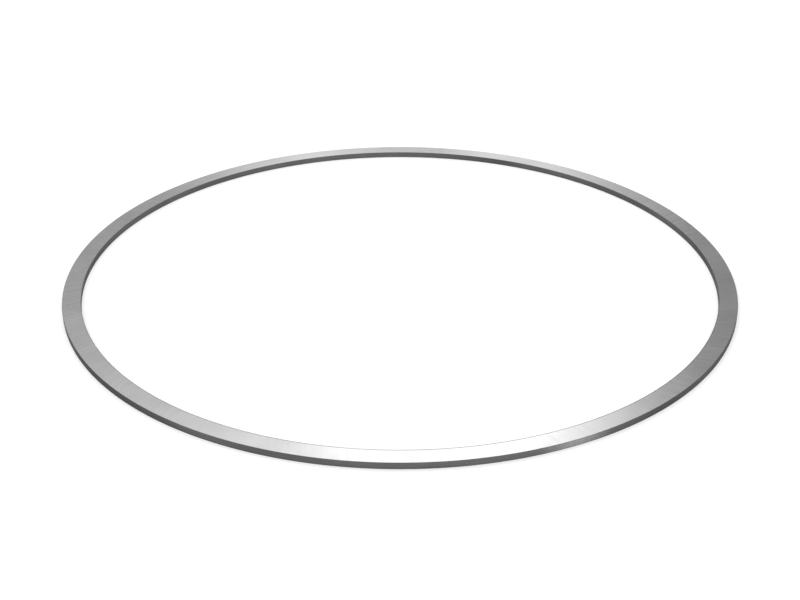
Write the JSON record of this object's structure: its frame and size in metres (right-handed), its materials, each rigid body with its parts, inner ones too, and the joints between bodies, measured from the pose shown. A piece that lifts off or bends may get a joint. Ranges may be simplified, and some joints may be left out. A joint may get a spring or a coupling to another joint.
{
  "type": "support ring",
  "caption": "Flat, slender steel support ring: a closed ring of plain rectangular section with ground faces and lightly broken edges, to back a seal or bearing.",
  "frame": {"origin": "on the axis of the bore, at the height of the bottom face", "axes": "+Z along the axis of the bore, from the bottom face to the top face; X and Y lie in the plane of the ring"},
  "size_m": [0.3699, 0.37, 0.0035],
  "materials": {
    "ground_steel": "both faces ground to a satin, walls turned and darker, all edges broken"
  },
  "bodies": {
    "root": {"support_ring": "ground_steel"}
  },
  "joints": []
}
